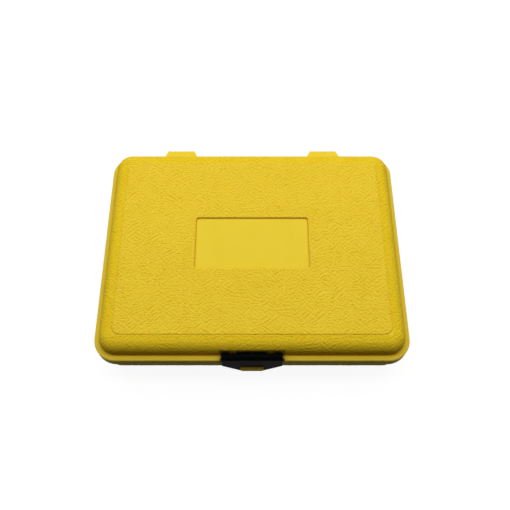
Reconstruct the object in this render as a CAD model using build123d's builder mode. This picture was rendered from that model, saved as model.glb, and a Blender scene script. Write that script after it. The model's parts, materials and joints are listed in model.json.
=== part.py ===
from build123d import *
from math import cos, radians, sin, tan
import os

# Die storage box: a moulded case with a hinged lid, a snap latch and cut foam inside.
# X runs along the front, the front faces -Y and Z is up. The origin is on the resting
# face, under the middle of the case's outline. All lengths are in millimetres.

# Outline shared by the two half shells
case_width = 184.0
case_depth = 142.0
flange_corner = 13.3
flange_thickness = 3.6
flange_edge_bevel = 0.5
wall_inset = 3.6
wall_thickness = 2.2
draft_angle = 1.5

# Levels above the table
panel_step = 0.4
base_rim = 23.4
parting_gap = 0.2
dome_height = 10.8

# Rounded outer edges of the two shells, the lid's sloping shoulder and the bevels inside
dome_round = 7.0
shoulder_width = 7.9
shoulder_drop = 1.8
ceiling_bevel_width = 4.6
ceiling_bevel_drop = 3.0
floor_bevel = 3.0

# Raised field on the lid, and the one like it that the case stands on
panel_inset = 12.0
panel_corner = 5.0
rest_inset = 15.0

# Bare nameplate recess in the lid's raised field
nameplate_width = 69.2
nameplate_depth = 35.0
nameplate_corner = 1.8
nameplate_recess = 0.9

# Locating rib round the base's rim, and its groove in the lid's
rib_inset = 2.8
rib_width = 1.2
rib_height = 1.0
rib_chamfer = 0.3
groove_clearance = 0.3

# The two hinges at the rear
hinge_x = 47.8
hinge_y = 74.2
hinge_z = 23.5
tab_root_width = 23.2
tab_end_width = 16.6
tab_end = 76.5
tab_corner = 2.2
tab_edge_round = 1.2
tab_knuckle_radius = 2.6
base_knuckle_radius = 2.3
base_knuckle_width = 7.2
knuckle_side_gap = 0.3
hinge_pin_radius = 1.0
hinge_pin_length = 16.4
web_thickness = 2.2
running_clearance = 0.05

# Snap latch at the middle of the front
latch_width = 35.4
latch_notch_width = 37.4
latch_notch_depth = 1.4
latch_pin_y = -69.5
latch_pin_z = 29.4
latch_barrel_radius = 2.4
latch_plate_thickness = 2.0
latch_side_bottom = 19.6
latch_bottom = 10.5
latch_bottom_width = 13.2
latch_corner = 1.5
latch_edge_round = 0.4
barrel_end_bevel = 0.4
latch_pin_radius = 0.75
latch_pin_length = 34.0
latch_recess_floor = -66.6
latch_recess_low = 26.6
latch_recess_high = 32.9
latch_recess_corner = 1.0

# Two lugs on the lid that carry the latch's pin
lug_x = 11.0
lug_width = 3.0
lug_radius = 1.5
lug_gap = 0.3
lug_front = -69.6
lug_back = -68.5
hood_end_angle = 30.0

# Catch tooth on the base, which stands out through the latch's window
tooth_top = 17.5
tooth_top_width = 14.0
tooth_bottom = 13.5
tooth_bottom_width = 12.0
tooth_shoulder = -72.0
tooth_tip = -73.1
tooth_tip_high = 15.6
tooth_tip_low = 13.9
tooth_neck = -69.5
tooth_root = -66.0
window_gap = 0.4

# Foam: a pad in the lid, and a cut layer on a plain sheet in the base
foam_gap = 0.4
lid_pad_bottom = 28.0
backing_bevel = 3.2
backing_top = 7.6
insert_top = 22.6
die_pocket_x = 52.0
die_pocket_width = 26.0
die_pocket_length = 112.0
ring_slot_width = 38.0
ring_slot_length = 16.0
ring_slot_y = 27.0
tray_width = 34.0
front_tray_length = 58.0
front_tray_y = -27.0
rear_tray_length = 38.0
rear_tray_y = 37.0
pocket_corner = 3.0

# Values worked out from the ones above
draft_slope = tan(radians(draft_angle))
front = -case_depth / 2
rear = case_depth / 2
base_flange_bottom = base_rim - flange_thickness
lid_rim = base_rim + parting_gap
lid_flange_top = lid_rim + flange_thickness
dome_top = lid_flange_top + dome_height
panel_top = dome_top + panel_step
lid_ceiling = dome_top - wall_thickness
base_floor = panel_step + wall_thickness
wall_width = case_width - 2 * wall_inset
wall_depth = case_depth - 2 * wall_inset
wall_corner = flange_corner - wall_inset
cavity_width = wall_width - 2 * wall_thickness
cavity_depth = wall_depth - 2 * wall_thickness
cavity_corner = wall_corner - wall_thickness
notch_floor = front + latch_notch_depth
plate_front = latch_pin_y - latch_barrel_radius
plate_back = plate_front + latch_plate_thickness
lid_taper = (lid_ceiling - lid_rim) * draft_slope
base_taper = (base_rim - base_floor) * draft_slope

os.makedirs("parts", exist_ok=True)


# Lid tab of one hinge, centred on X: a hood over the base's knuckle between two knuckles
with BuildPart() as lid_tab:
    with BuildSketch(Plane.YZ):
        with BuildLine():
            Polyline(
                (rear - 1, lid_flange_top),
                (tab_end, lid_flange_top),
                (tab_end, hinge_z),
                (hinge_y, hinge_z),
                (hinge_y, lid_rim),
                (rear - 1, lid_rim),
                close=True,
            )
        make_face()
        with Locations((hinge_y, hinge_z)):
            Circle(tab_knuckle_radius)
    extrude(amount=tab_root_width / 2, both=True)
    hood_edge = lid_tab.edges().filter_by(Axis.X).group_by(Axis.Z)[-1].sort_by(Axis.Y)[-1]
    fillet(hood_edge, tab_edge_round)
    with BuildSketch(Plane.XY):
        with BuildLine():
            Polyline(
                (-tab_root_width / 2, rear - 1),
                (tab_root_width / 2, rear - 1),
                (tab_end_width / 2, hinge_y + tab_knuckle_radius),
                (-tab_end_width / 2, hinge_y + tab_knuckle_radius),
                close=True,
            )
        tab_plan = make_face()
        fillet(tab_plan.vertices().group_by(Axis.Y)[-1], tab_corner)
    extrude(amount=lid_flange_top, mode=Mode.INTERSECT)
    with BuildSketch(Plane.YZ):
        with Locations((hinge_y, hinge_z)):
            Circle(base_knuckle_radius + knuckle_side_gap)
            Rectangle(
                2 * flange_thickness,
                base_knuckle_radius + knuckle_side_gap,
                align=(Align.MIN, Align.MIN),
            )
            Rectangle(2 * flange_thickness, 2 * flange_thickness, align=(Align.CENTER, Align.MAX))
    extrude(amount=base_knuckle_width / 2 + knuckle_side_gap, both=True, mode=Mode.SUBTRACT)
    with BuildSketch(Plane.YZ):
        with Locations((hinge_y, hinge_z)):
            Circle(hinge_pin_radius)
    extrude(amount=tab_root_width / 2, both=True, mode=Mode.SUBTRACT)

# Base knuckle of one hinge, on a web from the rear flange
with BuildPart() as base_knuckle:
    with BuildSketch(Plane.YZ):
        with Locations((hinge_y, hinge_z)):
            Circle(base_knuckle_radius)
        with Locations((rear - 1, base_rim)):
            Rectangle(hinge_y - rear + 1, web_thickness, align=(Align.MIN, Align.MAX))
        with Locations((hinge_y, hinge_z)):
            Circle(hinge_pin_radius + running_clearance, mode=Mode.SUBTRACT)
    extrude(amount=base_knuckle_width / 2, both=True)

# Lug that stands on the lid's flange and carries the latch's pin
with BuildPart() as latch_lug:
    with BuildSketch(Plane.YZ):
        with Locations((latch_pin_y, latch_pin_z)):
            Circle(lug_radius)
        with Locations((lug_front, lid_rim + flange_thickness / 2)):
            Rectangle(
                lug_back - lug_front,
                latch_pin_z - lid_rim - flange_thickness / 2,
                align=(Align.MIN, Align.MIN),
            )
        with Locations((latch_pin_y, latch_pin_z)):
            Circle(latch_pin_radius + running_clearance, mode=Mode.SUBTRACT)
    extrude(amount=lug_width / 2, both=True)

# Hollow of the lid
with BuildPart() as lid_core:
    with BuildSketch(Plane.XY.offset(lid_rim)):
        RectangleRounded(cavity_width, cavity_depth, cavity_corner)
    extrude(amount=lid_ceiling - lid_rim, taper=draft_angle)
    ceiling = lid_core.faces().sort_by(Axis.Z)[-1]
    chamfer(ceiling.edges(), ceiling_bevel_width, ceiling_bevel_drop, reference=ceiling)

# Lid shell: flange, domed top with its raised field, nameplate recess and latch seat
with BuildPart() as lid_shell:
    with BuildSketch(Plane.XY.offset(lid_rim)):
        RectangleRounded(case_width, case_depth, flange_corner)
    extrude(amount=flange_thickness)
    chamfer(lid_shell.faces().sort_by(Axis.Z)[-1].edges(), flange_edge_bevel)
    with BuildSketch(Plane.XY.offset(lid_flange_top)):
        RectangleRounded(wall_width, wall_depth, wall_corner)
    extrude(amount=dome_height, taper=draft_angle)
    dome_face = lid_shell.faces().sort_by(Axis.Z)[-1]
    chamfer(dome_face.edges(), shoulder_width, shoulder_drop, reference=dome_face)
    fillet(lid_shell.edges().group_by(Axis.Z)[-3], dome_round)
    with BuildSketch(Plane.XY.offset(dome_top)):
        RectangleRounded(
            case_width - 2 * panel_inset, case_depth - 2 * panel_inset, panel_corner
        )
    extrude(amount=panel_step)
    with BuildSketch(Plane.XY.offset(panel_top)):
        RectangleRounded(nameplate_width, nameplate_depth, nameplate_corner)
    extrude(amount=-nameplate_recess, mode=Mode.SUBTRACT)
    add(lid_core.part, mode=Mode.SUBTRACT)
    groove_inset = rib_inset - groove_clearance
    groove_width = rib_width + 2 * groove_clearance
    with BuildSketch(Plane.XY.offset(lid_rim)):
        RectangleRounded(
            case_width - 2 * groove_inset,
            case_depth - 2 * groove_inset,
            flange_corner - groove_inset,
        )
        RectangleRounded(
            case_width - 2 * (groove_inset + groove_width),
            case_depth - 2 * (groove_inset + groove_width),
            flange_corner - groove_inset - groove_width,
            mode=Mode.SUBTRACT,
        )
    extrude(amount=rib_height + groove_clearance, mode=Mode.SUBTRACT)
    with BuildSketch(Plane.XY.offset(lid_rim)):
        with Locations((0, front)):
            Rectangle(latch_notch_width, 2 * latch_notch_depth)
    extrude(amount=flange_thickness, mode=Mode.SUBTRACT)
    with BuildSketch(Plane.XZ.offset(-latch_recess_floor)) as latch_seat:
        with Locations((0, latch_recess_low)):
            Rectangle(
                latch_notch_width,
                latch_recess_high - latch_recess_low,
                align=(Align.CENTER, Align.MIN),
            )
        fillet(latch_seat.vertices().group_by(Axis.Y)[-1], latch_recess_corner)
    extrude(amount=2 * wall_inset, mode=Mode.SUBTRACT)
    with Locations((-lug_x, 0, 0), (lug_x, 0, 0)):
        add(latch_lug.part)
    with Locations((-hinge_x, 0, 0), (hinge_x, 0, 0)):
        add(lid_tab.part)
lid_shell.part.label = "lid_shell"
export_step(lid_shell.part, "parts/lid_shell.step")

# Hollow of the base
with BuildPart() as base_core:
    with BuildSketch(Plane(origin=(0, 0, base_rim), z_dir=(0, 0, -1))):
        RectangleRounded(cavity_width, cavity_depth, cavity_corner)
    extrude(amount=base_rim - base_floor, taper=draft_angle)
    chamfer(base_core.faces().sort_by(Axis.Z)[0].edges(), floor_bevel)

# Catch tooth: a ramp above, a flat tip and an underside that clears the latch's bar
with BuildPart() as catch_tooth:
    with BuildSketch(Plane.YZ):
        with BuildLine():
            Polyline(
                (tooth_root, base_flange_bottom),
                (tooth_neck, base_flange_bottom),
                (tooth_neck, tooth_top),
                (tooth_shoulder, tooth_top),
                (tooth_tip, tooth_tip_high),
                (tooth_tip, tooth_tip_low),
                (tooth_neck, tooth_bottom),
                (tooth_root, tooth_bottom),
                close=True,
            )
        make_face()
    extrude(amount=tooth_top_width, both=True)
    with BuildSketch(Plane.XZ.offset(-tooth_root)):
        with BuildLine():
            Polyline(
                (-tooth_bottom_width / 2, tooth_bottom),
                (tooth_bottom_width / 2, tooth_bottom),
                (tooth_top_width / 2, tooth_top),
                (tooth_top_width / 2, base_flange_bottom),
                (-tooth_top_width / 2, base_flange_bottom),
                (-tooth_top_width / 2, tooth_top),
                close=True,
            )
        make_face()
    extrude(amount=tooth_root - tooth_tip, mode=Mode.INTERSECT)

# Base shell: tapered tub with a flange, a locating rib, the catch and the hinge knuckles
with BuildPart() as base_shell:
    with BuildSketch(Plane(origin=(0, 0, base_flange_bottom), z_dir=(0, 0, -1))):
        RectangleRounded(wall_width, wall_depth, wall_corner)
    extrude(amount=base_flange_bottom - panel_step, taper=draft_angle)
    fillet(base_shell.faces().sort_by(Axis.Z)[0].edges(), dome_round)
    with BuildSketch(Plane.XY.offset(panel_step)):
        RectangleRounded(case_width - 2 * rest_inset, case_depth - 2 * rest_inset, panel_corner)
    extrude(amount=-panel_step)
    with BuildSketch(Plane.XY.offset(base_flange_bottom)):
        RectangleRounded(case_width, case_depth, flange_corner)
    extrude(amount=flange_thickness)
    flange_foot = base_shell.faces().filter_by(Axis.Z).sort_by(Axis.Z)[-2].outer_wire().edges()
    chamfer(flange_foot, flange_edge_bevel)
    with BuildSketch(Plane.XY.offset(base_rim)):
        RectangleRounded(
            case_width - 2 * rib_inset, case_depth - 2 * rib_inset, flange_corner - rib_inset
        )
    extrude(amount=rib_height)
    chamfer(base_shell.faces().sort_by(Axis.Z)[-1].edges(), rib_chamfer)
    with BuildSketch(Plane.XY.offset(base_rim)):
        RectangleRounded(
            case_width - 2 * (rib_inset + rib_width),
            case_depth - 2 * (rib_inset + rib_width),
            flange_corner - rib_inset - rib_width,
        )
    extrude(amount=rib_height, mode=Mode.SUBTRACT)
    add(base_core.part, mode=Mode.SUBTRACT)
    with BuildSketch(Plane.XY.offset(base_rim)):
        with Locations((0, front)):
            Rectangle(latch_notch_width, 2 * latch_notch_depth)
    extrude(amount=-flange_thickness, mode=Mode.SUBTRACT)
    add(catch_tooth.part)
    with Locations((-hinge_x, 0, 0), (hinge_x, 0, 0)):
        add(base_knuckle.part)
base_shell.part.label = "base_shell"
export_step(base_shell.part, "parts/base_shell.step")

# Barrel along the latch's top edge
with BuildPart() as latch_barrel:
    with BuildSketch(Plane.YZ):
        with Locations((latch_pin_y, latch_pin_z)):
            Circle(latch_barrel_radius)
    extrude(amount=latch_width / 2, both=True)
    chamfer(latch_barrel.edges().filter_by(GeomType.CIRCLE), barrel_end_bevel)

# Latch: a plate that tapers down round the tooth's window, hung from the barrel
with BuildPart() as latch:
    with BuildSketch(Plane.XZ.offset(-plate_back)):
        with BuildLine():
            Polyline(
                (-latch_width / 2, latch_pin_z),
                (-latch_width / 2, latch_side_bottom),
                (-latch_bottom_width / 2, latch_bottom),
                (latch_bottom_width / 2, latch_bottom),
                (latch_width / 2, latch_side_bottom),
                (latch_width / 2, latch_pin_z),
                close=True,
            )
        latch_outline = make_face()
        fillet(latch_outline.vertices().sort_by(Axis.Y)[:4], latch_corner)
        with BuildLine():
            Polyline(
                (-tooth_bottom_width / 2 - window_gap, tooth_bottom - lug_gap),
                (tooth_bottom_width / 2 + window_gap, tooth_bottom - lug_gap),
                (tooth_top_width / 2 + window_gap, tooth_top + window_gap),
                (-tooth_top_width / 2 - window_gap, tooth_top + window_gap),
                close=True,
            )
        make_face(mode=Mode.SUBTRACT)
    extrude(amount=latch_plate_thickness)
    rim = latch.faces().sort_by(Axis.Y)[0].edges()
    fillet(rim.sort_by(Axis.Z)[:-1], latch_edge_round)
    add(latch_barrel.part)
    hood_reach = 2 * latch_barrel_radius
    hood_end_y = latch_pin_y + hood_reach * sin(radians(hood_end_angle))
    hood_end_z = latch_pin_z + hood_reach * cos(radians(hood_end_angle))
    for side in (-1, 1):
        with BuildSketch(Plane.YZ.offset(side * lug_x)):
            with Locations((latch_pin_y, latch_pin_z)):
                Circle(lug_radius + lug_gap)
            with BuildLine():
                Polyline(
                    (latch_pin_y, latch_pin_z),
                    (hood_end_y, hood_end_z),
                    (latch_pin_y + hood_reach, hood_end_z),
                    (latch_pin_y + hood_reach, latch_pin_z - hood_reach),
                    (plate_back, latch_pin_z - hood_reach),
                    (plate_back, latch_pin_z),
                    close=True,
                )
            make_face()
        extrude(amount=lug_width / 2 + lug_gap, both=True, mode=Mode.SUBTRACT)
    with BuildSketch(Plane.YZ):
        with Locations((latch_pin_y, latch_pin_z)):
            Circle(latch_pin_radius)
    extrude(amount=latch_width, both=True, mode=Mode.SUBTRACT)
latch.part.label = "latch"
export_step(latch.part, "parts/latch.step")

# Steel pin of the latch, pressed into the latch and turning in the lid's lugs
with BuildPart() as latch_pin:
    with BuildSketch(Plane.YZ):
        with Locations((latch_pin_y, latch_pin_z)):
            Circle(latch_pin_radius)
    extrude(amount=latch_pin_length / 2, both=True)
latch_pin.part.label = "latch_pin"
export_step(latch_pin.part, "parts/latch_pin.step")

# Steel pins of the hinges, pressed into the lid's tabs and turning in the base's knuckles
for side, side_name in ((-1, "left"), (1, "right")):
    with BuildPart() as hinge_pin:
        with BuildSketch(Plane.YZ.offset(side * hinge_x)):
            with Locations((hinge_y, hinge_z)):
                Circle(hinge_pin_radius)
        extrude(amount=hinge_pin_length / 2, both=True)
    hinge_pin.part.label = f"hinge_pin_{side_name}"
    export_step(hinge_pin.part, f"parts/hinge_pin_{side_name}.step")

# Foam pad on the lid's ceiling
with BuildPart() as lid_foam_pad:
    pad_inset = foam_gap + lid_taper
    with BuildSketch(Plane.XY.offset(lid_pad_bottom)):
        RectangleRounded(
            cavity_width - 2 * pad_inset, cavity_depth - 2 * pad_inset, cavity_corner - pad_inset
        )
    extrude(amount=lid_ceiling - lid_pad_bottom)
    pad_top = lid_foam_pad.faces().sort_by(Axis.Z)[-1]
    chamfer(pad_top.edges(), ceiling_bevel_width, ceiling_bevel_drop, reference=pad_top)
lid_foam_pad.part.label = "lid_foam_pad"
export_step(lid_foam_pad.part, "parts/lid_foam_pad.step")

# Plain foam sheet on the base's floor
base_foam_inset = foam_gap + base_taper
with BuildPart() as base_foam_backing:
    with BuildSketch(Plane.XY.offset(base_floor)):
        RectangleRounded(
            cavity_width - 2 * base_foam_inset,
            cavity_depth - 2 * base_foam_inset,
            cavity_corner - base_foam_inset,
        )
    extrude(amount=backing_top - base_floor)
    chamfer(base_foam_backing.faces().sort_by(Axis.Z)[0].edges(), backing_bevel)
base_foam_backing.part.label = "base_foam_backing"
export_step(base_foam_backing.part, "parts/base_foam_backing.step")

# Cut foam layer: a pocket with a ring slot for each die, and two trays between them
with BuildPart() as base_foam_insert:
    with BuildSketch(Plane.XY.offset(backing_top)):
        RectangleRounded(
            cavity_width - 2 * base_foam_inset,
            cavity_depth - 2 * base_foam_inset,
            cavity_corner - base_foam_inset,
        )
        with Locations((-die_pocket_x, 0), (die_pocket_x, 0)):
            RectangleRounded(
                die_pocket_width, die_pocket_length, pocket_corner, mode=Mode.SUBTRACT
            )
        with Locations((-die_pocket_x, ring_slot_y), (die_pocket_x, ring_slot_y)):
            RectangleRounded(ring_slot_width, ring_slot_length, pocket_corner, mode=Mode.SUBTRACT)
        with Locations((0, front_tray_y)):
            RectangleRounded(tray_width, front_tray_length, pocket_corner, mode=Mode.SUBTRACT)
        with Locations((0, rear_tray_y)):
            RectangleRounded(tray_width, rear_tray_length, pocket_corner, mode=Mode.SUBTRACT)
    extrude(amount=insert_top - backing_top)
base_foam_insert.part.label = "base_foam_insert"
export_step(base_foam_insert.part, "parts/base_foam_insert.step")
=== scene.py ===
"""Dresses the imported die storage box: grained shells, satin latch, steel pins and cut foam."""

import itertools
import json
import math

import bpy
import numpy as np
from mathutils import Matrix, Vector

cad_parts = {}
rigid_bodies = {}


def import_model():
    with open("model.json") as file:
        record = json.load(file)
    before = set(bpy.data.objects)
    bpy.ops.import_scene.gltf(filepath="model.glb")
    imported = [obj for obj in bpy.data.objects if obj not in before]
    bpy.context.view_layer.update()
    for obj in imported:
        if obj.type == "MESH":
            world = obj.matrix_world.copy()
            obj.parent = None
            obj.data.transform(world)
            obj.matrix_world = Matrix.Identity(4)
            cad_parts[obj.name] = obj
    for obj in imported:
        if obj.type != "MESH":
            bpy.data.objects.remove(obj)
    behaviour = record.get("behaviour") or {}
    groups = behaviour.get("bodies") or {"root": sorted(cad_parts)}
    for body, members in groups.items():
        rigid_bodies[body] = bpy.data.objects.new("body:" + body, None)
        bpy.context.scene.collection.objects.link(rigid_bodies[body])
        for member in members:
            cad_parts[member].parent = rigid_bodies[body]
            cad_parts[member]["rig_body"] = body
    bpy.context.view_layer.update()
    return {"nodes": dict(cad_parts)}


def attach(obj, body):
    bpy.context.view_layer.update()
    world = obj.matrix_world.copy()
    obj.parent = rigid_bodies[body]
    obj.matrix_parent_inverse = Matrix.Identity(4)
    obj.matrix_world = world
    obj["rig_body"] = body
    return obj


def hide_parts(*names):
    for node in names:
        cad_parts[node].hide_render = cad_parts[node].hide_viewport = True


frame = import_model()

MM = 0.001

# Sizes of the case that the grained skins follow, in millimetres, as the solids have them
CASE_WIDTH = 184.0
CASE_DEPTH = 142.0
FLANGE_CORNER = 13.3
WALL_INSET = 3.6
DRAFT = math.radians(1.5)
EDGE_ROUND = 7.0
LID_FOOT = 27.2
DOME_TOP = 38.0
PANEL_TOP = 38.4
PANEL_INSET = 12.0
PANEL_CORNER = 5.0
SHOULDER_WIDTH = 7.9
SHOULDER_DROP = 1.8
NAMEPLATE_WIDTH = 69.2
NAMEPLATE_DEPTH = 35.0
NAMEPLATE_CORNER = 1.8
BASE_TOP = 19.8
BASE_BOTTOM = 0.4
REST_INSET = 15.0
LATCH_SEAT_HALF = 18.7
LATCH_SEAT_TOP = 32.9

# The steps of the skins' meshes, and the tightest corner that a ring of them has
DOME_STEP = 0.46
PANEL_COLUMN_STEP = 0.56
PANEL_ROW_STEP = 0.36
BASE_STEP = 0.62
LEAST_CORNER = 0.6

# How far the skins stand out of the solids, and how far the grain's wrinkles rise on them
SKIN_LIFT = 0.03
LID_RELIEF = 0.40
BASE_RELIEF = 0.34

# The skirt under the panel skin's edges, how far it leans out from the field and into the
# nameplate, and the share of the grain's height that is left along its rim
SKIRT_DEPTH = 0.3
FIELD_BEVEL = 0.3
PLATE_BEVEL = 0.15
RIM_SHARE = 0.3

# How far from its flange a wall still gets a painted shade, which turns it orange towards the
# flange
PAINTED_SHADE_HEIGHT = 4.2

# How many steps take a point onto an outline, and the nudge that finds their direction
EDGE_STEPS = 4
EDGE_NUDGE = 1e-4

# Sheets of leather that the lid and the base unfold onto, the step of their grid, and the
# least number of waves in a millimetre, above zero so that it has a logarithm
LID_SHEET = (260.0, 220.0)
BASE_SHEET = (300.0, 260.0)
SHEET_STEP = 0.30
LEAST_WAVES = 1e-6

# The grain: short wrinkles that cross each other, mostly level, between creases.
# Each family's lean and fan in radians, length in millimetres, share and patchiness.
WRINKLE_FAMILIES = (
    (0.65, 0.35, 1.9, 1.1, 1.0),
    (-0.65, 0.35, 1.9, 1.1, 1.0),
    (0.0, 0.35, 1.8, 1.0, 0.6),
    (0.0, 9.0, 1.8, 1.0, 0.5),
)

# How much the wrinkles' lengths vary, and how long their patches and slow swells are
WRINKLE_BAND = 0.62
PATCH_LENGTH = 6.5
SWELL_LENGTH = 12.0
SWELL_SHARE = 0.15

# How flat and how high the wrinkles' tops are, the folds that cut through them, the share
# of the finest grain, and the share of the sheet that is levelled off at either end
FLATTENING = 0.7
RAISING = 0.05
FOLD_DEPTH = 0.42
FOLD_WIDTH = 0.20
FINE_SHARE = 0.15
CLIPPED_SHARE = 0.002

# The foam's mesh in metres, how uneven its faces are in millimetres, and how far the
# unevenness moves sideways for each millimetre down its sides
FOAM_VOXEL = 1.2 * MM
FOAM_UNEVENNESS = 0.25
FOAM_SLANT = 0.7

# Colours, as the light reflected in red, green and blue. A pair is a darkest and a palest.
# The field's yellow is paler and bluer than the dome's as a painted sheen on the top, and the
# dome's and tub's yellow is deeper as a painted shade on the walls
FIELD_YELLOW_PAINTED_SHEEN = ((0.732, 0.530, 0.036), (0.746, 0.543, 0.040))
DOME_YELLOW_PAINTED_SHADE = ((0.724, 0.514, 0.020), (0.738, 0.527, 0.022))
SMOOTH_YELLOW = ((0.728, 0.540, 0.036), (0.744, 0.555, 0.040))
RUBBED_YELLOW = (0.80, 0.60, 0.07)
# Painted shade in the grain's creases
CREASE_SHADE_YELLOW = (0.55, 0.345, 0.002)
# Painted shade in the smooth shells' tight corners
CORNER_SHADE_ORANGE = (0.62, 0.25, 0.003)
# Painted shade: the orange at the walls' foot by the flange and on the field's skirt
PAINTED_SHADE_ORANGE = (0.66, 0.26, 0.003)
LATCH_BLACK = ((0.0014, 0.0019, 0.0019), (0.0026, 0.0034, 0.0034))
# The latch's edge colour, partly wear and partly a painted sheen
RUBBED_BLACK_AND_SHEEN = (0.016, 0.017, 0.017)
STEEL_GREY = ((0.42, 0.42, 0.43), (0.62, 0.62, 0.62))
FOAM_GREY = ((0.018, 0.018, 0.02), (0.075, 0.075, 0.08))

# How strongly the surfaces mirror, how far rubbing reaches, and how far the painted shade in
# tight corners reaches
YELLOW_GLOSS = 0.008
LATCH_GLOSS = 0.004
FOAM_GLOSS = 0.2
RUBBED_REACH = 0.5 * MM
CORNER_SHADE_REACH = 1.6 * MM

# The floor, a hair below the case so that their faces don't coincide
FLOOR_REACH = 3.0
FLOOR_LEVEL = -0.05 * MM

# Camera in metres, fitted to the photograph's flange, panel and rear edges
PHOTO_SIZE = 510
FOCAL_PIXELS = 637.3
SENSOR_MM = 36.0
CAMERA_PITCH = math.radians(63.03)
CAMERA_Y = -0.18278
CAMERA_Z = 0.38062
CENTRE_COLUMN = 252.05


class Leather:
    """A flat sheet of leather grain, whose height is 0 in a crease and 1 on a wrinkle."""

    def __init__(self, width, depth, seed, relief):
        self.relief = relief
        self.rows = round(depth / SHEET_STEP)
        self.columns = round(width / SHEET_STEP)
        self.low = np.array([-width / 2, -depth / 2])
        self.draw = np.random.default_rng(seed)
        across = np.fft.fftfreq(self.columns, SHEET_STEP)[None, :]
        along = np.fft.fftfreq(self.rows, SHEET_STEP)[:, None]
        self.waves = np.maximum(np.hypot(across, along), LEAST_WAVES)
        self.heading = np.arctan2(along, across)
        ridges = self.crossed_wrinkles() * (1 + SWELL_SHARE * self.smooth(SWELL_LENGTH))
        folds = self.wrinkles(length=5.0, band_width=0.4, lean=0.0, fan=0.6)
        height = np.tanh(FLATTENING * (ridges + RAISING))
        height -= FOLD_DEPTH * np.exp(-((folds / FOLD_WIDTH) ** 2))
        height += FINE_SHARE * self.wrinkles(length=1.2, band_width=0.35, lean=0.0, fan=1.2)
        low, high = np.quantile(height, (CLIPPED_SHARE, 1 - CLIPPED_SHARE))
        self.height = np.clip((height - low) / (high - low), 0, 1)

    def speckle(self, share):
        """White noise with a share of each of its waves kept, of unit spread."""
        noise = np.fft.fft2(self.draw.standard_normal((self.rows, self.columns)))
        field = np.fft.ifft2(noise * share).real
        return field / field.std()

    def smooth(self, length):
        """Smooth noise with features of about a length."""
        return self.speckle(np.exp(-((self.waves * length) ** 2)))

    def wrinkles(self, length, band_width, lean, fan):
        """Ridges a length apart, by how they lean from level and how far they fan out."""
        band = np.exp(-((np.log(self.waves * length) / band_width) ** 2))
        off = np.angle(np.exp(2j * (self.heading - math.pi / 2 - lean))) / 2
        return self.speckle(band * np.exp(-((off / fan) ** 2)))

    def crossed_wrinkles(self):
        """The families of wrinkles together, each stronger in some patches than in others."""
        total = np.zeros((self.rows, self.columns))
        weight = np.zeros((self.rows, self.columns))
        for lean, fan, length, share, patchiness in WRINKLE_FAMILIES:
            strength = share * np.exp(patchiness * self.smooth(PATCH_LENGTH))
            total += strength * self.wrinkles(length, WRINKLE_BAND, lean, fan)
            weight += strength**2
        return total / np.sqrt(weight)

    def at(self, places):
        """The height at places on the sheet, in millimetres from its middle."""
        spot = (places - self.low) / SHEET_STEP
        whole = np.floor(spot).astype(int)
        share = spot - whole
        total = np.zeros(len(places))
        for step_x, step_y in itertools.product((0, 1), repeat=2):
            weight_x = share[:, 0] if step_x else 1 - share[:, 0]
            weight_y = share[:, 1] if step_y else 1 - share[:, 1]
            row = (whole[:, 1] + step_y) % self.rows
            column = (whole[:, 0] + step_x) % self.columns
            total += weight_x * weight_y * self.height[row, column]
        return total


def outline(half_width, half_depth, corner, counts):
    """A rounded rectangle as points with outward normals, anticlockwise from the front."""
    along_front, along_side, round_corner = counts
    straight_x = half_width - corner
    straight_y = half_depth - corner
    turn = np.linspace(0, math.pi / 2, round_corner, endpoint=False)
    points = []
    normals = []
    for quarter in range(4):
        heading = (quarter - 1) * math.pi / 2
        out = np.array([round(math.cos(heading)), round(math.sin(heading))])
        along = np.array([-out[1], out[0]])
        if quarter % 2 == 0:
            half_run, reach, count = straight_x, half_depth, along_front
        else:
            half_run, reach, count = straight_y, half_width, along_side
        run = np.linspace(-half_run, half_run, count, endpoint=False)
        points.append(run[:, None] * along + reach * out)
        normals.append(np.tile(out.astype(float), (count, 1)))
        middle = np.array([straight_x, straight_y]) * np.sign(out + along)
        arc = np.stack([np.cos(heading + turn), np.sin(heading + turn)], axis=1)
        points.append(middle + corner * arc)
        normals.append(arc)
    return np.concatenate(points), np.concatenate(normals)


def counts_for(half_width, half_depth, corner, step):
    """How many points an outline's front, side and corner get."""
    return (
        round(2 * (half_width - corner) / step),
        round(2 * (half_depth - corner) / step),
        round(corner * math.pi / 2 / step),
    )


def stretch(start, end, step):
    """Points along a straight stretch of a profile, without its first."""
    start = np.array(start)
    end = np.array(end)
    count = max(1, round(float(np.linalg.norm(end - start)) / step))
    return [tuple(start + (end - start) * i / count) for i in range(1, count + 1)]


def turned(centre, radius, first, last, step):
    """Points round an arc of a profile, without its first, by their normals' angles."""
    count = max(2, round(radius * abs(last - first) / step))
    angles = np.linspace(first, last, count + 1)[1:]
    return [(centre[0] - radius * math.cos(a), centre[1] + radius * math.sin(a)) for a in angles]


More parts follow.
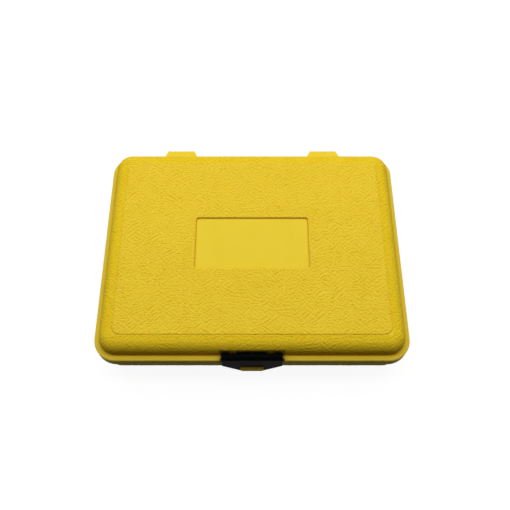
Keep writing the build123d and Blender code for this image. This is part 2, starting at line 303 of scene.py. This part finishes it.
def lid_profile():
    """(inset, height) up the lid's drafted wall, round its edge and up its shoulder."""
    slope = math.atan2(SHOULDER_DROP, SHOULDER_WIDTH)
    top_inset = WALL_INSET + (DOME_TOP - LID_FOOT) * math.tan(DRAFT) + SHOULDER_WIDTH
    shoulder_top = (top_inset, DOME_TOP)
    normal_angle = math.pi / 2 - slope
    draft_x = math.cos(DRAFT)
    draft_z = math.sin(DRAFT)
    slope_x = math.cos(normal_angle)
    slope_z = math.sin(normal_angle)
    wall_offset = WALL_INSET * draft_x - LID_FOOT * draft_z + EDGE_ROUND
    slope_offset = top_inset * slope_x - DOME_TOP * slope_z + EDGE_ROUND
    both = np.array([[draft_x, -draft_z], [slope_x, -slope_z]])
    centre = np.linalg.solve(both, [wall_offset, slope_offset])
    wall_top = (centre[0] - EDGE_ROUND * draft_x, centre[1] + EDGE_ROUND * draft_z)
    shoulder_foot = (centre[0] - EDGE_ROUND * slope_x, centre[1] + EDGE_ROUND * slope_z)
    profile = [(WALL_INSET, LID_FOOT)]
    profile += stretch(profile[0], wall_top, DOME_STEP)
    seat_angle = math.asin((LATCH_SEAT_TOP - centre[1]) / EDGE_ROUND)
    profile += turned(centre, EDGE_ROUND, DRAFT, seat_angle, DOME_STEP)
    profile += turned(centre, EDGE_ROUND, seat_angle, normal_angle, DOME_STEP)
    profile += stretch(shoulder_foot, shoulder_top, DOME_STEP)
    profile += stretch(shoulder_top, (PANEL_INSET + SKIN_LIFT, DOME_TOP), DOME_STEP)
    return profile


def base_profile():
    """(inset, height) down the base's drafted wall and round its lower edge."""
    centre_height = BASE_BOTTOM + EDGE_ROUND
    wall_height = BASE_TOP - centre_height
    centre_inset = WALL_INSET + wall_height * math.tan(DRAFT) + EDGE_ROUND / math.cos(DRAFT)
    centre = (centre_inset, centre_height)
    wall_foot = (
        centre_inset - EDGE_ROUND * math.cos(DRAFT),
        centre_height - EDGE_ROUND * math.sin(DRAFT),
    )
    profile = [(WALL_INSET, BASE_TOP)]
    profile += stretch(profile[0], wall_foot, BASE_STEP)
    profile += [
        (inset, 2 * centre_height - height)
        for inset, height in turned(centre, EDGE_ROUND, DRAFT, math.pi / 2, BASE_STEP)
    ]
    profile += stretch(profile[-1], (REST_INSET, BASE_BOTTOM), BASE_STEP)
    return profile


def skin_object(name, points, quads, grain, painted_shade):
    """A smooth mesh from points in millimetres, with values that its material reads."""
    mesh = bpy.data.meshes.new(name)
    mesh.from_pydata((points * MM).tolist(), [], quads.tolist())
    for layer_name, values in (("grain", grain), ("painted_shade", painted_shade)):
        layer = mesh.attributes.new(layer_name, "FLOAT", "POINT")
        layer.data.foreach_set("value", values.astype(np.float32))
    mesh.shade_smooth()
    mesh.update()
    skin = bpy.data.objects.new(name, mesh)
    bpy.context.scene.collection.objects.link(skin)
    return skin


def lift_points(mesh, points, lift):
    """Moves a mesh's points, given in millimetres, along their normals by a lift for each."""
    normals = np.array([normal.vector for normal in mesh.vertex_normals])
    mesh.vertices.foreach_set("co", ((points + normals * lift[:, None]) * MM).ravel())
    mesh.update()


def wall_rings(profile, step):
    """Rings of points round the case up a profile, and their places on a sheet of leather."""
    counts = counts_for(
        CASE_WIDTH / 2 - WALL_INSET, CASE_DEPTH / 2 - WALL_INSET, FLANGE_CORNER - WALL_INSET, step
    )
    end_inset = profile[-1][0]
    rings = []
    places = []
    for number, (inset, height) in enumerate(profile):
        corner = max(FLANGE_CORNER - inset, LEAST_CORNER)
        plan, normals = outline(CASE_WIDTH / 2 - inset, CASE_DEPTH / 2 - inset, corner, counts)
        rings.append(np.column_stack([plan, np.full(len(plan), height)]))
        left = sum(math.dist(*pair) for pair in itertools.pairwise(profile[number:]))
        places.append(plan + normals * (left - end_inset + inset))
    return np.array(rings), np.concatenate(places)


def ring_cells(ring_count, point_count):
    """The four-sided cells between one ring of points and the next, all the way round."""
    index = np.arange(ring_count * point_count).reshape(ring_count, point_count)
    following = np.roll(index, -1, axis=1)
    cells = np.stack([index[:-1], following[:-1], following[1:], index[1:]], axis=-1)
    return cells.reshape(-1, 4)


def meet_seat(rings):
    """Moves the two columns nearest to the sides of the latch's seat onto them."""
    across, along = rings[0, :, 0], rings[0, :, 1]
    for side in (-1, 1):
        column = np.argmin(np.hypot(across - side * LATCH_SEAT_HALF, along - along.min()))
        rings[:, column, 0] = side * LATCH_SEAT_HALF


def over_seat(places):
    """True for places in front of the latch's seat."""
    beside = np.abs(places[:, 0]) < LATCH_SEAT_HALF
    return beside & (places[:, 1] < 0) & (places[:, 2] < LATCH_SEAT_TOP)


def wall_skin(name, profile, step, leather, seated=False):
    """A grained skin round the case up a profile, and where seated, open at the latch's seat."""
    rings, places = wall_rings(profile, step)
    if seated:
        meet_seat(rings)
    points = rings.reshape(-1, 3)
    quads = ring_cells(*rings.shape[:2])
    held = np.zeros(rings.shape[:2], bool)
    held[[0, -1]] = True
    held = held.ravel()
    if seated:
        open_there = over_seat(points[quads].mean(axis=1))
        held[np.intersect1d(quads[open_there], quads[~open_there])] = True
        quads = quads[~open_there]
    flange_height = profile[0][1]
    if profile[-1][1] < flange_height:
        quads = quads[:, ::-1]
    # Painted shade: 1 at the flange, fading to 0 up or down the wall
    painted_shade = np.maximum(0, 1 - np.abs(points[:, 2] - flange_height) / PAINTED_SHADE_HEIGHT)
    grain = leather.at(places)
    skin = skin_object(name, points, quads, grain, painted_shade)
    lift_points(skin.data, points, np.where(held, -SKIN_LIFT, SKIN_LIFT + leather.relief * grain))
    return skin


def rounded_distance(places, half_width, half_depth, corner):
    """Signed distance from a rounded rectangle's edge, below zero inside it."""
    past = np.abs(places) - np.array([half_width - corner, half_depth - corner])
    outside = np.linalg.norm(np.maximum(past, 0), axis=1)
    inside = np.minimum(past.max(axis=1), 0)
    return outside + inside - corner


def onto_edge(places, shape):
    """The nearest points on a rounded rectangle's edge."""
    moved = places.copy()
    for _ in range(EDGE_STEPS):
        distance = rounded_distance(moved, *shape)
        nudged = [rounded_distance(moved + nudge, *shape) for nudge in EDGE_NUDGE * np.eye(2)]
        slope = (np.stack(nudged, axis=1) - distance[:, None]) / EDGE_NUDGE
        moved -= slope * distance[:, None]
    return moved


def cut_grid(field, plate):
    """A grid over the raised field, cut along its edge and the nameplate's."""
    half_width, half_depth, _ = field
    columns = round(2 * half_width / PANEL_COLUMN_STEP)
    rows = round(2 * half_depth / PANEL_ROW_STEP)
    grid_x, grid_y = np.meshgrid(
        np.linspace(-half_width, half_width, columns + 1),
        np.linspace(-half_depth, half_depth, rows + 1),
    )
    places = np.column_stack([grid_x.ravel(), grid_y.ravel()])
    index = np.arange(len(places)).reshape(rows + 1, columns + 1)
    quads = np.stack([index[:-1, :-1], index[:-1, 1:], index[1:, 1:], index[1:, :-1]], axis=-1)
    quads = quads.reshape(-1, 4)
    middle = places[quads].mean(axis=1)
    kept = (rounded_distance(middle, *field) < 0) & (rounded_distance(middle, *plate) > 0)
    quads = quads[kept]
    uses = np.bincount(quads.ravel(), minlength=len(places))
    border = (uses > 0) & (uses < 4)
    near_plate = np.abs(rounded_distance(places, *plate)) < 2 * PANEL_COLUMN_STEP
    for shape, chosen in ((plate, border & near_plate), (field, border & ~near_plate)):
        places[chosen] = onto_edge(places[chosen], shape)
    used = np.flatnonzero(uses)
    renumbered = np.full(len(places), -1)
    renumbered[used] = np.arange(len(used))
    return places[used], renumbered[quads]


def open_edges(quads):
    """The edges that only one cell of a mesh has, in that cell's own direction."""
    edges = np.concatenate([quads[:, [i, (i + 1) % 4]] for i in range(4)]).tolist()
    known = {tuple(edge) for edge in edges}
    return np.array([edge for edge in edges if (edge[1], edge[0]) not in known])


def panel_skin(leather):
    """The grain of the lid's raised field, cut out round the nameplate, with a skirt."""
    field = (CASE_WIDTH / 2 - PANEL_INSET, CASE_DEPTH / 2 - PANEL_INSET, PANEL_CORNER)
    plate = (NAMEPLATE_WIDTH / 2, NAMEPLATE_DEPTH / 2, NAMEPLATE_CORNER)
    places, quads = cut_grid(field, plate)
    rim = open_edges(quads)
    rim_points = np.unique(rim)
    skirt = np.full(len(places), -1)
    skirt[rim_points] = len(places) + np.arange(len(rim_points))
    skirt_quads = np.stack([rim[:, 1], rim[:, 0], skirt[rim[:, 0]], skirt[rim[:, 1]]], axis=-1)
    foot = places[rim_points]
    at_plate = np.abs(rounded_distance(foot, *plate)) < PANEL_COLUMN_STEP
    for growth, shape, chosen in (
        (-PLATE_BEVEL, plate, at_plate),
        (FIELD_BEVEL, field, ~at_plate),
    ):
        foot[chosen] = onto_edge(foot[chosen], [size + growth for size in shape])
    grain = np.concatenate([leather.at(places), np.zeros(len(foot))])
    lift = SKIN_LIFT + leather.relief * grain
    lift[rim_points] = SKIN_LIFT + RIM_SHARE * leather.relief * grain[rim_points]
    lift[len(places) :] = -SKIRT_DEPTH
    points = np.column_stack([np.concatenate([places, foot]), PANEL_TOP + lift])
    # Painted shade: 1 on the skirt under the field's and nameplate's edges
    painted_shade = np.zeros(len(points))
    painted_shade[len(places) :] = 1
    all_quads = np.concatenate([quads, skirt_quads])
    return skin_object("panel_grain_skin", points, all_quads, grain, painted_shade)


def new_material(name):
    """A material with its own node tree, and its Principled shader."""
    material = bpy.data.materials.new(name)
    material.use_nodes = True
    return material, material.node_tree, material.node_tree.nodes["Principled BSDF"]


def add_node(tree, kind, **settings):
    """A node of a kind, with attributes and, by socket name, input values."""
    node = tree.nodes.new(kind)
    for name, value in settings.items():
        if hasattr(node, name):
            setattr(node, name, value)
        else:
            node.inputs[name.replace("_", " ")].default_value = value
    return node


def noise(tree, scale, detail=3.0):
    """A noise value in object space, with its scale in cells for each metre."""
    place = add_node(tree, "ShaderNodeTexCoord")
    texture = add_node(tree, "ShaderNodeTexNoise", Scale=scale, Detail=detail, Roughness=0.55)
    tree.links.new(place.outputs["Object"], texture.inputs["Vector"])
    return texture.outputs["Fac"]


def ramp(tree, value, low, high, start=0.35, end=0.65):
    """Colours from low to high over a stretch of a value."""
    node = add_node(tree, "ShaderNodeValToRGB")
    node.color_ramp.elements[0].position = start
    node.color_ramp.elements[1].position = end
    node.color_ramp.elements[0].color = (*low, 1)
    node.color_ramp.elements[1].color = (*high, 1)
    tree.links.new(value, node.inputs["Fac"])
    return node.outputs["Color"]


def spread(tree, value, low, high):
    """A value from 0 to 1 spread from low to high."""
    node = add_node(tree, "ShaderNodeMapRange", To_Min=low, To_Max=high)
    tree.links.new(value, node.inputs["Value"])
    return node.outputs["Result"]


def window(tree, value, low, high):
    """0 where a value is at its low end or below, 1 at its high end or above."""
    node = add_node(tree, "ShaderNodeMapRange", From_Min=low, From_Max=high)
    tree.links.new(value, node.inputs["Value"])
    return node.outputs["Result"]


def bump(tree, shader, height, distance):
    """Drives a shader's normal from a height."""
    node = add_node(tree, "ShaderNodeBump", Strength=1.0, Distance=distance)
    tree.links.new(height, node.inputs["Height"])
    tree.links.new(node.outputs["Normal"], shader.inputs["Normal"])


def blend(tree, share, first, second):
    """A colour between a first one, by its socket, and a second one, by its values."""
    node = add_node(tree, "ShaderNodeMix", data_type="RGBA")
    share_socket, first_socket, second_socket = (node.inputs[number] for number in (0, 6, 7))
    tree.links.new(share, share_socket)
    tree.links.new(first, first_socket)
    second_socket.default_value = (*second, 1)
    return node.outputs[2]


def product(tree, first, second):
    """Two values multiplied."""
    node = add_node(tree, "ShaderNodeMath", operation="MULTIPLY")
    tree.links.new(first, node.inputs[0])
    tree.links.new(second, node.inputs[1])
    return node.outputs[0]


def rubbed(tree):
    """1 along the edges that hands rub, broken up by noise, and 0 elsewhere."""
    rounded = add_node(tree, "ShaderNodeBevel", samples=6, Radius=RUBBED_REACH)
    plain = add_node(tree, "ShaderNodeNewGeometry")
    turn = add_node(tree, "ShaderNodeVectorMath", operation="DOT_PRODUCT")
    tree.links.new(rounded.outputs["Normal"], turn.inputs[0])
    tree.links.new(plain.outputs["Normal"], turn.inputs[1])
    edge = window(tree, turn.outputs["Value"], low=0.995, high=0.90)
    return product(tree, edge, window(tree, noise(tree, scale=700), low=0.42, high=0.62))


def corner_shade_mask(tree):
    """1 in tight corners that ambient occlusion finds, where the shade is painted, and 0 in the
    open.
    """
    open_sky = add_node(tree, "ShaderNodeAmbientOcclusion", samples=6, Distance=CORNER_SHADE_REACH)
    open_sky.only_local = True
    return window(tree, open_sky.outputs["AO"], low=0.85, high=0.25)


def finish_surface(shader, colour, rough, gloss):
    """Gives a shader its colour, its roughness and how strongly it mirrors."""
    links = shader.id_data.links
    links.new(colour, shader.inputs["Base Color"])
    links.new(rough, shader.inputs["Roughness"])
    shader.inputs["Specular IOR Level"].default_value = gloss


def translucent(shader):
    """Lets a little light through the plastic's surface, red furthest."""
    shader.inputs["Subsurface Weight"].default_value = 0.25
    shader.inputs["Subsurface Radius"].default_value = (1.0, 0.35, 0.05)
    shader.inputs["Subsurface Scale"].default_value = 1.2 * MM


def smooth_yellow():
    """Moulded yellow plastic where the tool was left smooth, with painted shade turning its tight
    corners orange.
    """
    material, tree, shader = new_material("yellow_plastic_smooth")
    cloud = ramp(tree, noise(tree, scale=60), *SMOOTH_YELLOW)
    worn = blend(tree, rubbed(tree), cloud, RUBBED_YELLOW)
    # Painted shade: orange in tight corners
    colour = blend(tree, corner_shade_mask(tree), worn, CORNER_SHADE_ORANGE)
    rough = spread(tree, noise(tree, scale=900), low=0.36, high=0.46)
    finish_surface(shader, colour, rough, YELLOW_GLOSS)
    translucent(shader)
    bump(tree, shader, noise(tree, scale=2500), distance=0.03 * MM)
    return material


def grained_yellow(name, deep, pale):
    """Moulded yellow plastic with a leather grain, with painted shade darkening its creases and
    turning the wall by the flange orange.
    """
    material, tree, shader = new_material(name)
    grain = add_node(tree, "ShaderNodeAttribute", attribute_name="grain").outputs["Fac"]
    painted_shade = add_node(tree, "ShaderNodeAttribute", attribute_name="painted_shade").outputs["Fac"]
    cloud = ramp(tree, noise(tree, scale=70), deep, pale)
    # Painted shade: darker where the grain is low, in its creases
    crease_shaded = blend(tree, window(tree, grain, low=0.62, high=0.05), cloud, CREASE_SHADE_YELLOW)
    # Painted shade: orange towards the flange and on the skirt
    painted_shade_share = window(tree, painted_shade, low=0.0, high=0.95)
    colour = blend(tree, painted_shade_share, crease_shaded, PAINTED_SHADE_ORANGE)
    rough = spread(tree, grain, low=0.52, high=0.34)
    finish_surface(shader, colour, rough, YELLOW_GLOSS)
    translucent(shader)
    bump(tree, shader, noise(tree, scale=1800, detail=4), distance=0.08 * MM)
    return material


def black_satin():
    """The latch's satin black plastic, with faint moulding speckle and paler rubbed edges, partly
    wear and partly a painted sheen.
    """
    material, tree, shader = new_material("black_plastic")
    plain = ramp(tree, noise(tree, scale=500), *LATCH_BLACK)
    # Paler edges: wear, and a painted sheen along them
    colour = blend(tree, rubbed(tree), plain, RUBBED_BLACK_AND_SHEEN)
    rough = spread(tree, noise(tree, scale=1200), low=0.36, high=0.48)
    finish_surface(shader, colour, rough, LATCH_GLOSS)
    bump(tree, shader, noise(tree, scale=2200), distance=0.04 * MM)
    return material


def drawn_steel():
    """The pins' drawn steel, with fine lines along the wire."""
    material, tree, shader = new_material("pin_steel")
    place = add_node(tree, "ShaderNodeTexCoord")
    drawn_out = add_node(tree, "ShaderNodeMapping", Scale=(120, 6000, 6000))
    lines = add_node(tree, "ShaderNodeTexNoise", Scale=1.0, Detail=2.0)
    tree.links.new(place.outputs["Object"], drawn_out.inputs["Vector"])
    tree.links.new(drawn_out.outputs["Vector"], lines.inputs["Vector"])
    colour = ramp(tree, lines.outputs["Fac"], *STEEL_GREY)
    rough = spread(tree, lines.outputs["Fac"], low=0.22, high=0.4)
    tree.links.new(colour, shader.inputs["Base Color"])
    tree.links.new(rough, shader.inputs["Roughness"])
    shader.inputs["Metallic"].default_value = 1.0
    bump(tree, shader, lines.outputs["Fac"], distance=0.02 * MM)
    return material


def charcoal_foam():
    """Open-celled charcoal foam: small dark pores in a matt grey web."""
    material, tree, shader = new_material("grey_foam")
    place = add_node(tree, "ShaderNodeTexCoord")
    cells = add_node(tree, "ShaderNodeTexVoronoi", Scale=1500.0)
    tree.links.new(place.outputs["Object"], cells.inputs["Vector"])
    colour = ramp(tree, cells.outputs["Distance"], *FOAM_GREY, start=0.1, end=0.7)
    rough = spread(tree, noise(tree, scale=400), low=0.88, high=1.0)
    finish_surface(shader, colour, rough, FOAM_GLOSS)
    bump(tree, shader, cells.outputs["Distance"], distance=0.3 * MM)
    return material


def give(piece, material):
    """Gives a piece a material in place of any others."""
    piece.data.materials.clear()
    piece.data.materials.append(material)


def soften(piece):
    """Gives a piece a fine, even mesh with its edges rounded a little."""
    remesh = piece.modifiers.new("remesh", "REMESH")
    remesh.mode = "VOXEL"
    remesh.voxel_size = FOAM_VOXEL
    smooth = piece.modifiers.new("smooth", "SMOOTH")
    smooth.iterations = 2
    smooth.factor = 0.5
    bpy.context.view_layer.update()
    evaluated = piece.evaluated_get(bpy.context.evaluated_depsgraph_get())
    mesh = bpy.data.meshes.new_from_object(evaluated)
    piece.modifiers.clear()
    piece.data = mesh


def roughen(mesh, leather):
    """Sinks a foam mesh's faces unevenly, as a sheet of leather has it."""
    points = np.zeros(len(mesh.vertices) * 3)
    mesh.vertices.foreach_get("co", points)
    points = points.reshape(-1, 3) / MM
    sink = FOAM_UNEVENNESS * leather.at(points[:, :2] + FOAM_SLANT * points[:, 2:])
    lift_points(mesh, points, -sink)


def foam_piece(name, node, material, leather):
    """A cut foam piece over a CAD node's space, with softened edges and uneven faces."""
    source = frame["nodes"][node]
    piece = bpy.data.objects.new(name, source.data.copy())
    bpy.context.scene.collection.objects.link(piece)
    soften(piece)
    roughen(piece.data, leather)
    piece.data.shade_smooth()
    give(piece, material)
    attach(piece, source["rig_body"])
    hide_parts(node)


def seen_rays(tree):
    """1 for a ray of the camera, a reflection or a look through, 0 for the light's own."""
    path = add_node(tree, "ShaderNodeLightPath")
    total = path.outputs["Is Camera Ray"]
    for kind in ("Is Glossy Ray", "Is Transmission Ray"):
        most = add_node(tree, "ShaderNodeMath", operation="MAXIMUM")
        tree.links.new(total, most.inputs[0])
        tree.links.new(path.outputs[kind], most.inputs[1])
        total = most.outputs[0]
    return total


def either(tree, share, first, second):
    """The first shader where a share is 0, and the second where it is 1."""
    node = add_node(tree, "ShaderNodeMixShader")
    tree.links.new(share, node.inputs["Fac"])
    tree.links.new(first.outputs[0], node.inputs[1])
    tree.links.new(second.outputs[0], node.inputs[2])
    return node


def floor_finish():
    """White to the eye with a soft shadow, dim to the light, and see-through from below."""
    material = bpy.data.materials.new("floor")
    material.use_nodes = True
    tree = material.node_tree
    tree.nodes.clear()
    pale = add_node(tree, "ShaderNodeBsdfDiffuse", Color=(0.11, 0.11, 0.11, 1))
    glow = add_node(tree, "ShaderNodeEmission", Color=(1, 1, 1, 1), Strength=0.925)
    shown = add_node(tree, "ShaderNodeAddShader")
    tree.links.new(pale.outputs[0], shown.inputs[0])
    tree.links.new(glow.outputs[0], shown.inputs[1])
    dim = add_node(tree, "ShaderNodeBsdfDiffuse", Color=(0.06, 0.06, 0.06, 1))
    upper_side = either(tree, seen_rays(tree), dim, shown)
    side = add_node(tree, "ShaderNodeNewGeometry")
    clear = add_node(tree, "ShaderNodeBsdfTransparent")
    both_sides = either(tree, side.outputs["Backfacing"], upper_side, clear)
    out = add_node(tree, "ShaderNodeOutputMaterial")
    tree.links.new(both_sides.outputs[0], out.inputs["Surface"])
    return material


def floor():
    """A wide floor under the case."""
    mesh = bpy.data.meshes.new("floor")
    corners = ((-1, -1), (1, -1), (1, 1), (-1, 1))
    places = [(x * FLOOR_REACH, y * FLOOR_REACH, FLOOR_LEVEL) for x, y in corners]
    mesh.from_pydata(places, [], [(0, 1, 2, 3)])
    mesh.materials.append(floor_finish())
    plane = bpy.data.objects.new("floor", mesh)
    bpy.context.scene.collection.objects.link(plane)


def world():
    """A dim, even surround that the camera sees as white."""
    surround = bpy.data.worlds.new("surround")
    bpy.context.scene.world = surround
    surround.use_nodes = True
    tree = surround.node_tree
    tree.nodes.clear()
    dim = add_node(tree, "ShaderNodeBackground", Color=(1, 0.9, 0.75, 1), Strength=0.08)
    white = add_node(tree, "ShaderNodeBackground", Color=(1, 1, 1, 1), Strength=1.0)
    shown = either(tree, seen_rays(tree), dim, white)
    out = add_node(tree, "ShaderNodeOutputWorld")
    tree.links.new(shown.outputs[0], out.inputs["Surface"])


def softbox(name, place, size, power):
    """An oblong area lamp at a place in metres, turned to the middle of the case."""
    data = bpy.data.lights.new(name, "AREA")
    data.shape = "RECTANGLE"
    data.size, data.size_y = size
    data.energy = power
    lamp = bpy.data.objects.new(name, data)
    bpy.context.scene.collection.objects.link(lamp)
    lamp.location = place
    case_middle = Vector((0, 0, 0.02))
    lamp.rotation_euler = (case_middle - Vector(place)).to_track_quat("-Z", "Y").to_euler()


def camera():
    """The photograph's view: steeply down on the front, the object's middle just left."""
    data = bpy.data.cameras.new("camera")
    data.sensor_width = SENSOR_MM
    data.lens = FOCAL_PIXELS * SENSOR_MM / PHOTO_SIZE
    data.shift_x = (PHOTO_SIZE / 2 - CENTRE_COLUMN) / PHOTO_SIZE
    data.clip_start = 0.01
    view = bpy.data.objects.new("camera", data)
    bpy.context.scene.collection.objects.link(view)
    view.location = (0, CAMERA_Y, CAMERA_Z)
    view.rotation_euler = (math.pi / 2 - CAMERA_PITCH, 0, 0)
    bpy.context.scene.camera = view


smooth_plastic = smooth_yellow()
# One grained plastic in two copies: a deeper one with painted shade for the walls, a paler one
# with painted sheen for the top field
dome_plastic_painted_shade = grained_yellow("yellow_plastic_grained_painted_shade", *DOME_YELLOW_PAINTED_SHADE)
field_plastic_painted_sheen = grained_yellow("yellow_plastic_field_painted_sheen", *FIELD_YELLOW_PAINTED_SHEEN)
steel = drawn_steel()
for node, material in (
    ("lid_shell", smooth_plastic),
    ("base_shell", smooth_plastic),
    ("latch", black_satin()),
    ("latch_pin", steel),
    ("hinge_pin_left", steel),
    ("hinge_pin_right", steel),
):
    give(frame["nodes"][node], material)

lid_leather = Leather(*LID_SHEET, seed=5, relief=LID_RELIEF)
base_leather = Leather(*BASE_SHEET, seed=8, relief=BASE_RELIEF)
dome_skin = wall_skin("dome_grain_skin", lid_profile(), DOME_STEP, lid_leather, seated=True)
tub_skin = wall_skin("base_grain_skin", base_profile(), BASE_STEP, base_leather)
for skin, material, body in (
    (dome_skin, dome_plastic_painted_shade, "lid"),
    (panel_skin(lid_leather), field_plastic_painted_sheen, "lid"),
    (tub_skin, dome_plastic_painted_shade, "base"),
):
    give(skin, material)
    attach(skin, body)

foam = charcoal_foam()
foam_piece("lid_pad_foam", "lid_foam_pad", foam, base_leather)
foam_piece("base_sheet_foam", "base_foam_backing", foam, base_leather)
foam_piece("die_pocket_foam", "base_foam_insert", foam, base_leather)

floor()
world()
softbox("top_light", place=(0, 0.03, 0.87), size=(3.0, 0.2), power=9.05)
softbox("rear_light", place=(0, 0.33, 0.52), size=(1.2, 0.4), power=3.2)
camera()
bpy.context.scene.view_settings.view_transform = "Standard"
